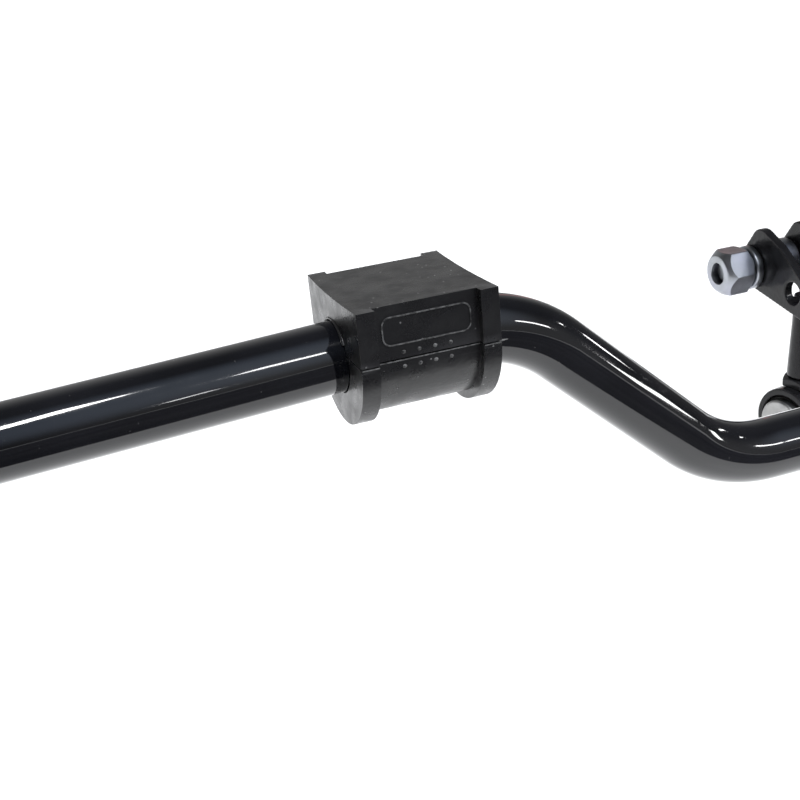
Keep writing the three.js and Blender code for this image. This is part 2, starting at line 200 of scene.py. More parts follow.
def settle(piece):
    """Makes a piece's modifiers part of its mesh."""
    graph = bpy.context.evaluated_depsgraph_get()
    shape = bpy.data.meshes.new_from_object(piece.evaluated_get(graph))
    piece.modifiers.clear()
    piece.data = shape
    piece.data.materials.clear()
    return piece


def machined(piece, *steps):
    """Cuts, joins or keeps the common part with each tool in turn, and throws the tools away."""
    for operation, tool in steps:
        step = piece.modifiers.new(operation, "BOOLEAN")
        step.operation = operation
        step.solver = "EXACT"
        step.object = tool
    settle(piece)
    for _, tool in steps:
        bpy.data.objects.remove(tool)
    return piece


def turned(profile, name="turned", steps=72, bored=False):
    """Turns an outline of (x, radius) corners about the X axis."""
    bm = bmesh.new()
    points = [bm.verts.new((x, 0, radius)) for x, radius in profile]
    lines = [bm.edges.new(pair) for pair in zip(points, points[1:])]
    if bored:
        lines.append(bm.edges.new((points[-1], points[0])))
    bmesh.ops.spin(bm, geom=points + lines, cent=(0, 0, 0), axis=(1, 0, 0), dvec=(0, 0, 0),
                   angle=2 * pi, steps=steps, use_merge=True, use_duplicate=False)
    bmesh.ops.remove_doubles(bm, verts=bm.verts, dist=0.0005)
    bmesh.ops.recalc_face_normals(bm, faces=bm.faces)
    return workpiece(bm, name)


def rod(radius, start, end, name="rod"):
    return turned([(start, 0), (start, radius), (end, radius), (end, 0)], name)


def shown(piece, name, finish, body, node, crease=35):
    """Gives a finished piece its surface, ties it to its body and hides its CAD stand-in."""
    piece.name = name
    piece.data.name = name
    piece.data.materials.append(finish)
    piece.data.shade_smooth()
    piece.data.set_sharp_from_angle(angle=radians(crease))
    even = piece.modifiers.new("even shading", "WEIGHTED_NORMAL")
    even.keep_sharp = True
    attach(piece, body)
    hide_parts(node)


def new_finish(name, metallic, specular=0.5):
    material = bpy.data.materials.new(name)
    material.use_nodes = True
    tree = material.node_tree
    shader = tree.nodes["Principled BSDF"]
    shader.inputs["Metallic"].default_value = metallic
    shader.inputs["Specular IOR Level"].default_value = specular
    place = tree.nodes.new("ShaderNodeTexCoord").outputs["Object"]
    return material, tree, shader, place


def mottle(tree, place, scale, low, high, detail=3.0, stretch=(1, 1, 1), window=(0.35, 0.65)):
    """A cloudy value between low and high. The scale is in cells per metre."""
    stretched = tree.nodes.new("ShaderNodeMapping")
    stretched.inputs["Scale"].default_value = stretch
    cloud = tree.nodes.new("ShaderNodeTexNoise")
    cloud.inputs["Scale"].default_value = scale
    cloud.inputs["Detail"].default_value = detail
    ranged = tree.nodes.new("ShaderNodeMapRange")
    ranged.inputs["From Min"].default_value, ranged.inputs["From Max"].default_value = window
    ranged.inputs["To Min"].default_value = low
    ranged.inputs["To Max"].default_value = high
    tree.links.new(place, stretched.inputs["Vector"])
    tree.links.new(stretched.outputs["Vector"], cloud.inputs["Vector"])
    tree.links.new(cloud.outputs["Fac"], ranged.inputs["Value"])
    return ranged.outputs["Result"]


def blend_colours(tree, factor, first, second):
    """Mixes two colours, either of which may be another mix."""
    mix = tree.nodes.new("ShaderNodeMix")
    mix.data_type = "RGBA"
    tree.links.new(factor, mix.inputs["Factor"])
    for socket, colour in ((mix.inputs["A"], first), (mix.inputs["B"], second)):
        if isinstance(colour, bpy.types.NodeSocket):
            tree.links.new(colour, socket)
        else:
            socket.default_value = (*colour, 1)
    return mix.outputs["Result"]


def raise_relief(tree, shader, height, distance, strength=1.0):
    """Adds a relief of that height in metres on top of any that the shader has."""
    bump = tree.nodes.new("ShaderNodeBump")
    bump.inputs["Distance"].default_value = distance
    bump.inputs["Strength"].default_value = strength
    tree.links.new(height, bump.inputs["Height"])
    normal = shader.inputs["Normal"]
    if normal.is_linked:
        tree.links.new(normal.links[0].from_socket, bump.inputs["Normal"])
    tree.links.new(bump.outputs["Normal"], normal)


def specks(tree, place, scale, size):
    """Scattered small spots: one over each spot's middle, nought between them."""
    cells = tree.nodes.new("ShaderNodeTexVoronoi")
    cells.inputs["Scale"].default_value = scale
    spot = tree.nodes.new("ShaderNodeMapRange")
    spot.inputs["From Min"].default_value = size
    spot.inputs["From Max"].default_value = size * 0.6
    tree.links.new(place, cells.inputs["Vector"])
    tree.links.new(cells.outputs["Distance"], spot.inputs["Value"])
    chance = tree.nodes.new("ShaderNodeSeparateColor")
    tree.links.new(cells.outputs["Color"], chance.inputs["Color"])
    few = tree.nodes.new("ShaderNodeMath")
    few.operation = "GREATER_THAN"
    few.inputs[1].default_value = 0.8
    tree.links.new(chance.outputs["Red"], few.inputs[0])
    both = tree.nodes.new("ShaderNodeMath")
    both.operation = "MULTIPLY"
    tree.links.new(spot.outputs["Result"], both.inputs[0])
    tree.links.new(few.outputs["Value"], both.inputs[1])
    return both.outputs["Value"]


gloss_paint, tree, shader, place = new_finish("gloss_black_paint", 0.0, 0.2)
shader.inputs["Coat Weight"].default_value = 1.0
shader.inputs["Coat Roughness"].default_value = 0.018
paint_tone = blend_colours(tree, mottle(tree, place, 30, 0, 1), (0.0028, 0.0031, 0.0045),
                           (0.0050, 0.0054, 0.0075))
dust = specks(tree, place, 320, 0.085)
tree.links.new(blend_colours(tree, dust, paint_tone, (0.05, 0.05, 0.05)),
               shader.inputs["Base Color"])
tree.links.new(mottle(tree, place, 60, 0.05, 0.13), shader.inputs["Roughness"])
raise_relief(tree, shader, mottle(tree, place, 260, 0, 1, 2.0), 0.00002, 0.5)
raise_relief(tree, shader, mottle(tree, place, 45, 0, 1, 1.0, window=(0.2, 0.8)), 0.00012, 0.5)
raise_relief(tree, shader, dust, 0.00008)

bar_piece = workpiece(bar, "bar_blank")
drills = []
for hand in (1, -1):
    drill = rod(SHANK_RADIUS + CLEARANCE, -PADDLE_THICKNESS, PADDLE_THICKNESS)
    drill_way = Matrix((eye_axis, arm_level, (0, 0, 1))).transposed().to_4x4()
    drill.data.transform(Matrix.Scale(hand, 4, ACROSS) @ Matrix.Translation(paddle_hole)
                         @ drill_way)
    if hand < 0:
        drill.data.flip_normals()
    drills.append(("DIFFERENCE", drill))
machined(bar_piece, *drills)
bar_piece.data.transform(Matrix.Scale(MM, 4))
shown(bar_piece, "painted_bar", gloss_paint, "bar", "bar")

# ---- The bushings --------------------------------------------------------------------------
# A D-shaped block of moulded black polyurethane, slit along its front so that it snaps over the
# bar, with a flange at each end to hold a strap in place. Flash and mould marks are left on.

BUSHING_HALF_LENGTH = 25
FLANGE = 6.5
FLANGE_HALF_WIDTH = 27.5
BODY_HALF_WIDTH = 24.4
BUSHING_TOP = 22.4
ROUND_CENTRE = 3.3
BORE_RADIUS = 13.15
HALF_SLIT = 0.25


def eased(bm, width, segments=2, sharper_than=35, keep=lambda edge: True):
    """Rounds the sharp edges of a closed shape."""
    sharp = [edge for edge in bm.edges if len(edge.link_faces) == 2
             and edge.calc_face_angle(0) > radians(sharper_than) and keep(edge)]
    bmesh.ops.bevel(bm, geom=sharp, offset=width, offset_type="OFFSET", segments=segments,
                    profile=0.5, affect="EDGES", material=-1, clamp_overlap=True)


block = bmesh.new()
end_x = -BUSHING_HALF_LENGTH
slit_top = ROUND_CENTRE + HALF_SLIT
slit_bottom = ROUND_CENTRE - HALF_SLIT
outside = [block.verts.new(place_yz) for place_yz in (
    (end_x, -FLANGE_HALF_WIDTH, slit_top), (end_x, -FLANGE_HALF_WIDTH, BUSHING_TOP),
    (end_x, FLANGE_HALF_WIDTH, BUSHING_TOP), (end_x, FLANGE_HALF_WIDTH, ROUND_CENTRE))]
for pair in zip(outside, outside[1:]):
    block.edges.new(pair)
belly = bmesh.ops.spin(block, geom=[outside[-1]], cent=(end_x, 0, ROUND_CENTRE), axis=(-1, 0, 0),
                       angle=pi - HALF_SLIT / FLANGE_HALF_WIDTH, steps=60, dvec=(0, 0, 0))
bore_start = block.verts.new((end_x, -sqrt(BORE_RADIUS ** 2 - slit_bottom ** 2), slit_bottom))
block.edges.new((belly["geom_last"][0], bore_start))
lip_angle = atan2(slit_top, sqrt(BORE_RADIUS ** 2 - slit_top ** 2))
lip_angle -= atan2(slit_bottom, sqrt(BORE_RADIUS ** 2 - slit_bottom ** 2))
bored = bmesh.ops.spin(block, geom=[bore_start], cent=(end_x, 0, 0), axis=(1, 0, 0),
                       angle=2 * pi - lip_angle, steps=90, dvec=(0, 0, 0))
block.edges.new((bored["geom_last"][0], outside[0]))
face = bmesh.ops.contextual_create(block, geom=block.edges[:])["faces"]


def drawn_along(bm, faces, distance):
    """Draws a flat outline out along X into a solid."""
    grown = bmesh.ops.extrude_face_region(bm, geom=faces, use_keep_orig=True)["geom"]
    bmesh.ops.translate(bm, vec=(distance, 0, 0),
                        verts=[part for part in grown if isinstance(part, bmesh.types.BMVert)])
    bmesh.ops.recalc_face_normals(bm, faces=bm.faces)


drawn_along(block, face, 2 * BUSHING_HALF_LENGTH)
blank = workpiece(block, "bushing_blank")

# The groove for the strap goes down the front, under the round and up the back.
groove = bmesh.new()
groove_x = FLANGE - BUSHING_HALF_LENGTH
OVERSHOOT = 3
far_y = FLANGE_HALF_WIDTH + OVERSHOOT
high_z = BUSHING_TOP + OVERSHOOT
strap_path = [groove.verts.new(place_yz) for place_yz in (
    (groove_x, -BODY_HALF_WIDTH, ROUND_CENTRE), (groove_x, -BODY_HALF_WIDTH, high_z),
    (groove_x, -far_y, high_z), (groove_x, -far_y, -far_y), (groove_x, far_y, -far_y),
    (groove_x, far_y, high_z), (groove_x, BODY_HALF_WIDTH, high_z),
    (groove_x, BODY_HALF_WIDTH, ROUND_CENTRE))]
for pair in zip(strap_path, strap_path[1:]):
    groove.edges.new(pair)
bmesh.ops.spin(groove, geom=[strap_path[-1]], cent=(groove_x, 0, ROUND_CENTRE), axis=(-1, 0, 0),
               angle=pi, steps=60, dvec=(0, 0, 0))
bmesh.ops.remove_doubles(groove, verts=groove.verts, dist=0.0005)
face = bmesh.ops.contextual_create(groove, geom=groove.edges[:])["faces"]
drawn_along(groove, face, -2 * groove_x)
machined(blank, ("DIFFERENCE", workpiece(groove, "strap_groove")))

block = bmesh.new()
block.from_mesh(blank.data)
bpy.data.objects.remove(blank)
bmesh.ops.remove_doubles(block, verts=block.verts, dist=0.0005)
bmesh.ops.dissolve_limit(block, angle_limit=radians(0.5), verts=block.verts, edges=block.edges)
eased(block, 0.4, 3, 50, lambda edge: edge.verts[0].co.y > -BODY_HALF_WIDTH + 1
      or abs((edge.verts[0].co.z + edge.verts[1].co.z) / 2 - ROUND_CENTRE) > 1)

# The block has shrunk a little hollow in its mould, so its top bows towards the middle of the car.
# Its faces are cut into strips first, so that they can bend.
LENGTHWISE_CUTS = [((0, across, 0), (0, 1, 0)) for across in
                   (-24.5, -19.5, -14.5, -9.5, -4.5, 0.5, 5.5, 10.5, 15.5, 20.5, 25.5)]
LEVEL_CUTS = [((0, 0, height), (0, 0, 1)) for height in (0.2, 6.2, 12.2, 17.2)]
for place_on, normal in LENGTHWISE_CUTS + LEVEL_CUTS:
    bmesh.ops.bisect_plane(block, geom=block.verts[:] + block.edges[:] + block.faces[:],
                           plane_co=place_on, plane_no=normal, dist=0.0001)
MOULD_BOW = 1.0
for vert in block.verts:
    level = max(0, vert.co.z) / BUSHING_TOP
    vert.co.x -= MOULD_BOW * level * (1 - (vert.co.y / FLANGE_HALF_WIDTH) ** 2)

# A plain raised panel and two rows of mould pips stand on the front.
PANEL = {"left": -16.1, "right": 15.8, "bottom": 8.3, "top": 18.6, "corner": 3.2, "line": 0.6,
         "proud": 0.4}
panel = bmesh.new()
panel_width = PANEL["right"] - PANEL["left"]
panel_height = PANEL["top"] - PANEL["bottom"]
bmesh.ops.create_grid(panel, x_segments=1, y_segments=1, size=0.5)
bmesh.ops.scale(panel, vec=(panel_width, panel_height, 1), verts=panel.verts)
bmesh.ops.bevel(panel, geom=panel.verts[:], offset=PANEL["corner"], offset_type="OFFSET",
                segments=8, profile=0.5, affect="VERTICES", material=-1)
border = bmesh.ops.inset_region(panel, faces=panel.faces[:], thickness=PANEL["line"],
                                use_even_offset=True, use_boundary=True)["faces"]
inside = [face for face in panel.faces if face not in border]
bmesh.ops.delete(panel, geom=inside, context="FACES_ONLY")
lifted = bmesh.ops.extrude_face_region(panel, geom=panel.faces[:], use_keep_orig=True)["geom"]
bmesh.ops.translate(panel, vec=(0, 0, 2 * PANEL["proud"]),
                    verts=[part for part in lifted if isinstance(part, bmesh.types.BMVert)])
bmesh.ops.recalc_face_normals(panel, faces=panel.faces)
eased(panel, 0.18, 2, 50)
bmesh.ops.transform(
    panel, verts=panel.verts,
    matrix=Matrix.Translation(((PANEL["left"] + PANEL["right"]) / 2,
                               PANEL["proud"] - BODY_HALF_WIDTH,
                               (PANEL["bottom"] + PANEL["top"]) / 2))
    @ Matrix.Rotation(pi / 2, 4, "X"))

PIP_RADIUS = 0.75
PIP_SPACING = 5.6
FIRST_PIP = -9.0
PIP_DEPTH = 0.12
PIP_ROWS = (5.6, 0.6)
for row in PIP_ROWS:
    depth = BODY_HALF_WIDTH if row > ROUND_CENTRE else sqrt(
        BODY_HALF_WIDTH ** 2 - (ROUND_CENTRE - row) ** 2)
    for step in range(4):
        centre = Matrix.Translation((FIRST_PIP + PIP_SPACING * step, PIP_DEPTH - depth, row))
        bmesh.ops.create_icosphere(panel, subdivisions=2, radius=PIP_RADIUS,
                                   matrix=centre @ Matrix.Diagonal((1.1, 0.7, 1, 1)))

# Flash stands along the slit and sticks out past its outer end, and a lip of it lies on the bar.
FLASH_RADIUS = 0.22
FLASH_SHORT = 0.5
for start, end, out in ((end_x, groove_x, FLANGE_HALF_WIDTH),
                        (groove_x, -groove_x, BODY_HALF_WIDTH),
                        (-groove_x, -end_x, FLANGE_HALF_WIDTH)):
    ridge = Matrix.Translation(((start + end) / 2, -out - 0.02, ROUND_CENTRE - HALF_SLIT - 0.18))
    bmesh.ops.create_cone(panel, cap_ends=True, segments=8, radius1=FLASH_RADIUS,
                          radius2=FLASH_RADIUS, depth=end - start - FLASH_SHORT,
                          matrix=ridge @ Matrix.Rotation(pi / 2, 4, "Y"))
bmesh.ops.create_cone(
    panel, cap_ends=True, segments=8, radius1=0.45, radius2=0.1, depth=3.4,
    matrix=Matrix.Translation((BUSHING_HALF_LENGTH + 0.8, -FLANGE_HALF_WIDTH + 0.5, ROUND_CENTRE))
    @ Matrix.Rotation(pi / 2, 4, "Y") @ Matrix.Diagonal((1.0, 1.5, 1, 1)))
lip = bmesh.ops.create_circle(
    panel, segments=10, radius=0.55,
    matrix=Matrix.Translation((-BUSHING_HALF_LENGTH - 0.15, 0, BORE_RADIUS + 0.25))
    @ Matrix.Diagonal((1.7, 1, 1, 1)) @ Matrix.Rotation(pi / 2, 4, "X"))
lip_edges = list({edge for vert in lip["verts"] for edge in vert.link_edges})
bmesh.ops.rotate(panel, verts=lip["verts"], cent=(0, 0, 0), matrix=Matrix.Rotation(-0.9, 3, "X"))
bent = bmesh.ops.spin(panel, geom=lip_edges, cent=(0, 0, 0), axis=(1, 0, 0), angle=1.9, steps=40,
                      dvec=(0, 0, 0))
last_ring = [part for part in bent["geom_last"] if isinstance(part, bmesh.types.BMEdge)]
bmesh.ops.contextual_create(panel, geom=last_ring)
bmesh.ops.contextual_create(panel, geom=lip_edges)
bmesh.ops.recalc_face_normals(panel, faces=panel.faces)

# The faces of the flash along the slit, of both rows of pips and of the panel's raised frame take
# a second, paler finish. The flash is a little paler of itself, but the pale tone there and on the
# pips and frame is mostly a painted highlight for the glints that the overhead light draws along
# them.
PAINTED_GLINT_SLOT = 1
for face in panel.faces:
    middle = face.calc_center_median()
    on_front = middle.z < PIP_ROWS[0] + 1 and middle.y < -BODY_HALF_WIDTH + 1.5
    on_frame = middle.z > PANEL["bottom"] - 1 and middle.y < -BODY_HALF_WIDTH - 0.3
    if on_front or on_frame:
        face.material_index = PAINTED_GLINT_SLOT
marks = bpy.data.meshes.new("marks")
panel.to_mesh(marks)
panel.free()
block.from_mesh(marks)
bpy.data.meshes.remove(marks)

moulding, tree, shader, place = new_finish("moulded_black_urethane", 0.0, 0.6)
worn = tree.nodes.new("ShaderNodeNewGeometry").outputs["Pointiness"]
scuffed = tree.nodes.new("ShaderNodeMapRange")
scuffed.inputs["From Min"].default_value = 0.54
scuffed.inputs["From Max"].default_value = 0.62
scuffed.inputs["To Max"].default_value = 0.35
tree.links.new(worn, scuffed.inputs["Value"])
body_tone = blend_colours(tree, mottle(tree, place, 90, 0, 1, 5.0), (0.006, 0.006, 0.0065),
                          (0.011, 0.011, 0.0115))
body_tone = blend_colours(tree, scuffed.outputs["Result"], body_tone, (0.075, 0.075, 0.078))
grit = specks(tree, place, 420, 0.16)
tree.links.new(blend_colours(tree, grit, body_tone, (0.16, 0.16, 0.16)),
               shader.inputs["Base Color"])
tree.links.new(mottle(tree, place, 140, 0.23, 0.38, 4.0), shader.inputs["Roughness"])
raise_relief(tree, shader, mottle(tree, place, 900, 0, 1, 2.0), 0.00003, 0.6)
raise_relief(tree, shader, mottle(tree, place, 70, 0, 1, 2.0, stretch=(0.4, 1, 1),
                                  window=(0.2, 0.8)), 0.00025, 0.5)
raise_relief(tree, shader, grit, 0.0001)

# A paler urethane whose light tone is a painted highlight: it stands in for the glints on the
# flash, the pips and the panel frame.
painted_glint_finish, tree, shader, place = new_finish("painted_glint_urethane", 0.0)
tree.links.new(blend_colours(tree, mottle(tree, place, 600, 0, 1, 4.0), (0.02, 0.02, 0.02),
                             (0.17, 0.17, 0.17)), shader.inputs["Base Color"])
tree.links.new(mottle(tree, place, 300, 0.30, 0.55), shader.inputs["Roughness"])
raise_relief(tree, shader, mottle(tree, place, 900, 0, 1, 2.0), 0.00005, 0.6)


def fit_both_sides(piece, place_right, stem, finish, body, node, crease=35):
    """Puts a piece, made in millimetres about its own centre, on the right side of the car and
    its mirror image on the left."""
    piece.data.transform(place_right)
    twin = piece.copy()
    twin.data = piece.data.copy()
    twin.data.transform(Matrix.Scale(-1, 4, ACROSS))
    twin.data.flip_normals()
    bpy.context.scene.collection.objects.link(twin)
    for side, half in (("right", piece), ("left", twin)):
        rides = body if body == "bar" else f"{side}_{body}"
        shown(half, f"{side}_{stem}", finish, rides, f"{side}_{node}", crease)


at_bushing = Matrix.Scale(MM, 4) @ Matrix.Translation(bushing_centre)
fit_both_sides(workpiece(block, "bushing_blank"), at_bushing, "urethane_bushing", moulding,
               "bushing", "bushing")
# The second slot holds the painted-highlight finish for the flash, pips and frame.
for side in ("right", "left"):
    bpy.data.objects[f"{side}_urethane_bushing"].data.materials.append(painted_glint_finish)

# ---- The lower pivot -----------------------------------------------------------------------
# A steel stud with a plain shoulder goes through the drilled end of the arm, and is held from
# outside by a washer and a nut. A rubber sleeve is pressed over the shoulder.

at_eye = (Matrix.Scale(MM, 4) @ Matrix.Translation(eye_centre)
          @ Matrix((eye_axis, arm_level, (0, 0, 1))).transposed().to_4x4())
STUD_RADIUS = 13.6
STUD_END = 53
THREAD_FROM = 33
THREAD_PITCH = 1.5
THREAD_DEPTH = 0.8
WASHER_AT = STUD_HALF_LENGTH + PADDLE_THICKNESS + 2 * CLEARANCE
WASHER_RADIUS = 14
WASHER_THICKNESS = 3
NUT_AT = WASHER_AT + WASHER_THICKNESS + CLEARANCE
NUT_ACROSS = 22
NUT_THICKNESS = 14


def threaded(radius, start, end, pitch=THREAD_PITCH, depth=THREAD_DEPTH):
    """The outline of a thread, from its root at the start to its root at the end."""
    outline = []
    turn_start = start
    while turn_start + pitch <= end:
        outline += [(turn_start, radius - depth), (turn_start + 0.42 * pitch, radius),
                    (turn_start + 0.58 * pitch, radius)]
        turn_start += pitch
    return outline + [(turn_start, radius - depth), (end, radius - depth)]


def round_off(piece, width, segments=2, sharper_than=35):
    """Rounds the sharp edges of a workpiece."""
    bm = bmesh.new()
    bm.from_mesh(piece.data)
    bmesh.ops.dissolve_limit(bm, angle_limit=radians(0.5), verts=bm.verts, edges=bm.edges)
    bmesh.ops.dissolve_degenerate(bm, edges=bm.edges, dist=0.001)
    eased(bm, width, segments, sharper_than)
    bm.to_mesh(piece.data)
    bm.free()
    return piece


stud = turned([
    (-STUD_HALF_LENGTH, 0), (-STUD_HALF_LENGTH + 0.5, 2.2), (-STUD_HALF_LENGTH, 2.6),
    (-STUD_HALF_LENGTH, STUD_RADIUS - 1.4), (-STUD_HALF_LENGTH + 0.35, STUD_RADIUS - 0.6),
    (-STUD_HALF_LENGTH + 1.2, STUD_RADIUS), (STUD_HALF_LENGTH - 0.4, STUD_RADIUS),
    (STUD_HALF_LENGTH, STUD_RADIUS - 0.4), (STUD_HALF_LENGTH, SHANK_RADIUS),
    (THREAD_FROM, SHANK_RADIUS), *threaded(SHANK_RADIUS, THREAD_FROM + 0.4, STUD_END - 1.2),
    (STUD_END - 1.2, SHANK_RADIUS - 0.9),
    (STUD_END, SHANK_RADIUS - 1.9), (STUD_END, 0)], "stud", 80)

machined_steel, tree, shader, place = new_finish("machined_steel", 1.0)
steel_tone = blend_colours(tree, mottle(tree, place, 160, 0, 1, 4.0), (0.33, 0.33, 0.33),
                           (0.42, 0.42, 0.415))
stain = mottle(tree, place, 45, 0, 0.3, 5.0, window=(0.52, 0.75))
tree.links.new(blend_colours(tree, stain, steel_tone, (0.30, 0.27, 0.23)),
               shader.inputs["Base Color"])
tree.links.new(mottle(tree, place, 220, 0.30, 0.48, 4.0), shader.inputs["Roughness"])
raise_relief(tree, shader, mottle(tree, place, 2600, 0, 1, 2.0, stretch=(1, 0.25, 0.25)),
             0.00002, 0.5)
fit_both_sides(stud, at_eye, "shouldered_stud", machined_steel, "bar", "lower_stud",
               30)


def washer(inner, outer, start, thickness, soften):
    ring = turned([(start, inner), (start, outer), (start + thickness, outer),
                   (start + thickness, inner)], "washer", 72, bored=True)
    return round_off(ring, soften, 3)


def hexagon(across, start, end, name="hexagon"):
    """A hexagonal bar along X with a flat at its front."""
    bm = bmesh.new()
    corner = across / sqrt(3)
    bmesh.ops.create_cone(bm, cap_ends=True, segments=6, radius1=corner, radius2=corner,
                          depth=end - start,
                          matrix=Matrix.Translation(((start + end) / 2, 0, 0))
                          @ Matrix.Rotation(pi / 2, 4, "Y"))
    eased(bm, 0.4, 3, 35, lambda edge: abs(edge.verts[0].co.x - edge.verts[1].co.x) > 1)
    return workpiece(bm, name)


def chamfered_hexagon(across, start, end, chamfer=(1.6, 1.6)):
    """A hexagon whose corners are turned off at its ends."""
    corner = across / sqrt(3) + 0.05
    face = across / 2 - 0.5
    outline = [(start, 0), (start, face), (start + chamfer[0], corner), (end - chamfer[1], corner),
               (end, face), (end, 0)]
    return machined(hexagon(across, start, end), ("INTERSECT", turned(outline, "chamfer", 96)))


def tapped(piece, radius, start, end):
    """Cuts a threaded hole with a countersunk mouth at each end."""
    tap = turned([(start - 1, 0), (start - 1, radius + 1.1), (start + 0.9, radius - 0.3),
                  *threaded(radius + 0.35, start + 0.9, end - 0.9), (end + 1, radius + 1.1),
                  (end + 1, 0)], "tap", 64)
    return machined(piece, ("DIFFERENCE", tap))


lower_nut = tapped(chamfered_hexagon(NUT_ACROSS, NUT_AT, NUT_AT + NUT_THICKNESS),
                   SHANK_RADIUS + CLEARANCE, NUT_AT, NUT_AT + NUT_THICKNESS)
lower_washer = washer(SHANK_RADIUS + CLEARANCE, WASHER_RADIUS, WASHER_AT, WASHER_THICKNESS, 0.5)

zinc, tree, shader, place = new_finish("bright_zinc_plate", 1.0)
zinc_tone = blend_colours(tree, mottle(tree, place, 120, 0, 1, 4.0), (0.34, 0.36, 0.38),
                          (0.43, 0.45, 0.47))
lustre = mottle(tree, place, 60, 0, 0.7, 2.0)
zinc_tone = blend_colours(tree, lustre, zinc_tone, (0.38, 0.385, 0.47))
dull = mottle(tree, place, 140, 0, 0.22, 6.0, window=(0.50, 0.75))
tree.links.new(blend_colours(tree, dull, zinc_tone, (0.36, 0.37, 0.38)),
               shader.inputs["Base Color"])
tree.links.new(mottle(tree, place, 200, 0.28, 0.40, 3.0), shader.inputs["Roughness"])
raise_relief(tree, shader, mottle(tree, place, 500, 0, 1, 3.0), 0.00003, 0.4)
fit_both_sides(lower_nut, at_eye, "arm_nut", zinc, "bar", "lower_nut", 30)
fit_both_sides(lower_washer, at_eye, "arm_washer", zinc, "bar", "lower_washer", 30)

EYE_BORE = 15.6
EYE_HALF_LENGTH = 16
rubber_end = EYE_HALF_LENGTH - 1
sleeve = turned([
    (-rubber_end, STUD_RADIUS + CLEARANCE), (-rubber_end, STUD_RADIUS + 0.7),
    (-rubber_end + 0.5, STUD_RADIUS + 1.1), (-rubber_end, EYE_BORE - 0.8),
    (-rubber_end + 0.6, EYE_BORE - CLEARANCE), (rubber_end - 0.6, EYE_BORE - CLEARANCE),
    (rubber_end, EYE_BORE - 0.8), (rubber_end - 0.5, STUD_RADIUS + 1.1),
    (rubber_end, STUD_RADIUS + 0.7), (rubber_end, STUD_RADIUS + CLEARANCE)],
    "sleeve", 80, bored=True)

rubber, tree, shader, place = new_finish("dark_bonded_rubber", 0.0, 0.4)
tree.links.new(blend_colours(tree, mottle(tree, place, 200, 0, 1, 5.0), (0.008, 0.008, 0.008),
                             (0.018, 0.018, 0.017)), shader.inputs["Base Color"])
tree.links.new(mottle(tree, place, 300, 0.55, 0.80), shader.inputs["Roughness"])
raise_relief(tree, shader, mottle(tree, place, 1100, 0, 1, 3.0), 0.00006, 0.7)
fit_both_sides(sleeve, at_eye, "eye_rubber", rubber, "link", "lower_rubber", 30)

# ---- The lower eye -------------------------------------------------------------------------
# A forged ring in the fork's black paint closes round the rubber. Its threaded stem screws up
# into the fork's column, and a painted jam nut locks it.

EYE_RADIUS = 19.5
STEM_TOP = 41
barrel = turned([
    (-EYE_HALF_LENGTH, EYE_BORE + 0.5), (-EYE_HALF_LENGTH, EYE_RADIUS - 1.1),
    (-EYE_HALF_LENGTH + 0.35, EYE_RADIUS - 0.35), (-EYE_HALF_LENGTH + 1.1, EYE_RADIUS),
    (EYE_HALF_LENGTH - 1.1, EYE_RADIUS), (EYE_HALF_LENGTH - 0.35, EYE_RADIUS - 0.35),
    (EYE_HALF_LENGTH, EYE_RADIUS - 1.1), (EYE_HALF_LENGTH, EYE_BORE + 0.5),
    (EYE_HALF_LENGTH - 0.6, EYE_BORE), (-EYE_HALF_LENGTH + 0.6, EYE_BORE)],
    "barrel", 96, bored=True)
upright = Matrix.Rotation(-pi / 2, 4, "Y")
stem = turned([(17.2, 0), (17.2, SHANK_RADIUS), *threaded(SHANK_RADIUS, 24.6, STEM_TOP - 1),
               (STEM_TOP, SHANK_RADIUS - 1.8), (STEM_TOP, 0)], "stem", 64)
stem.data.transform(upright)
machined(barrel, ("UNION", stem))
JAM_ACROSS = 22
JAM_BOTTOM, JAM_TOP = 18.6, 24
jam_nut = chamfered_hexagon(JAM_ACROSS, JAM_BOTTOM, JAM_TOP, (1.0, 1.3))
machined(jam_nut, ("DIFFERENCE", rod(SHANK_RADIUS + CLEARANCE, JAM_BOTTOM - 1, JAM_TOP + 1)))
jam_nut.data.transform(upright)
machined(jam_nut, ("DIFFERENCE", rod(EYE_RADIUS + CLEARANCE, -EYE_HALF_LENGTH - 1,
                                     EYE_HALF_LENGTH + 1)))

satin_paint, tree, shader, place = new_finish("satin_black_paint", 0.0, 0.22)
shader.inputs["Coat Weight"].default_value = 0.1
shader.inputs["Coat Roughness"].default_value = 0.12
worn = tree.nodes.new("ShaderNodeNewGeometry").outputs["Pointiness"]
rubbed = tree.nodes.new("ShaderNodeMapRange")
rubbed.inputs["From Min"].default_value = 0.53
rubbed.inputs["From Max"].default_value = 0.60
rubbed.inputs["To Max"].default_value = 0.5
tree.links.new(worn, rubbed.inputs["Value"])
satin_tone = blend_colours(tree, mottle(tree, place, 110, 0, 1, 4.0), (0.006, 0.006, 0.007),
                           (0.010, 0.010, 0.011))
satin_tone = blend_colours(tree, rubbed.outputs["Result"], satin_tone, (0.05, 0.05, 0.055))
tree.links.new(satin_tone, shader.inputs["Base Color"])
tree.links.new(mottle(tree, place, 180, 0.16, 0.26, 4.0), shader.inputs["Roughness"])
raise_relief(tree, shader, mottle(tree, place, 420, 0, 1, 3.0), 0.00006, 0.6)
raise_relief(tree, shader, mottle(tree, place, 110, 0, 1, 2.0), 0.00012, 0.5)
fit_both_sides(barrel, at_eye, "forged_eye", satin_paint, "link", "lower_eye",
               30)
fit_both_sides(jam_nut, at_eye, "jam_nut_hex", satin_paint, "link", "jam_nut",
               30)

# ---- The fork ------------------------------------------------------------------------------
# A drop forging in satin black: two humped ears over a crown, with an upright tapped column
# below. A large tooling hole goes through both ears just over the crown.

fork_centre = Vector(joints["right_bush_turn"]["pos_m"]) / MM
at_fork = Matrix.Scale(MM, 4) @ Matrix.Translation(fork_centre)
FORK_HALF_WIDTH = 15
EAR_THICKNESS = 5
